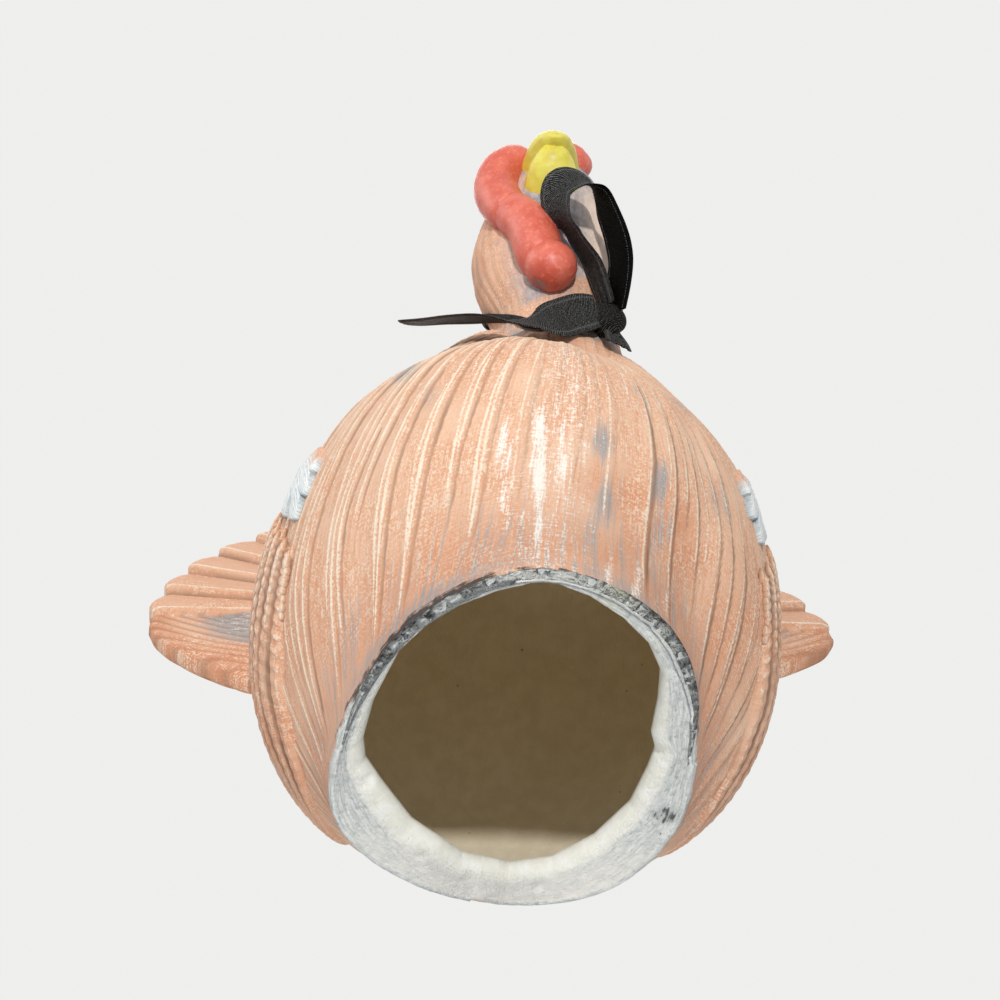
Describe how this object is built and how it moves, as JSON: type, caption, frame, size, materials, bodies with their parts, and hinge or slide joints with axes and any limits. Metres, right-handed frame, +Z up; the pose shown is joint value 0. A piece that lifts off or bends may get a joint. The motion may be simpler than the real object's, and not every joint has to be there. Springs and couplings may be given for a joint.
{
  "type": "ceramic turkey figurine",
  "caption": "Hollow ceramic turkey figurine with a feathered breast, folded wings, an upright tail fan, an open base and a ribbon tied round its neck.",
  "frame": {"origin": "middle of the footprint of the whole figure, on the plane of the base rim", "axes": "+Z up through the head and tail fan, -Y the way the turkey looks, +X towards its left wing as it stands"},
  "size_m": [0.1568, 0.1298, 0.1545],
  "materials": {
    "peach_stain": "matte stain, dry brushed cream over carved feather lines, with a grey wash left in the grooves",
    "white_feather_paint": "matte white paint with a blue-grey wash in the carving",
    "yellow_glaze": "semi-gloss yellow paint",
    "coral_glaze": "semi-gloss coral red paint",
    "black_ribbon": "black woven satin ribbon with a corded selvedge"
  },
  "bodies": {
    "root": {"body_shell": "peach_stain", "wing_left": "peach_stain", "wing_right": "peach_stain", "shoulder_coverts_left": "white_feather_paint", "shoulder_coverts_right": "white_feather_paint", "tail_fan": "peach_stain", "neck_and_head": "peach_stain", "beak_upper": "yellow_glaze", "beak_lower": "yellow_glaze", "forehead_caruncle": "coral_glaze", "snood": "coral_glaze", "throat_wattle": "coral_glaze", "wattle_ball": "coral_glaze", "ribbon_neck_band": "black_ribbon", "ribbon_knot": "black_ribbon", "ribbon_loop": "black_ribbon", "ribbon_long_tail": "black_ribbon", "ribbon_short_tail": "black_ribbon"}
  },
  "joints": []
}
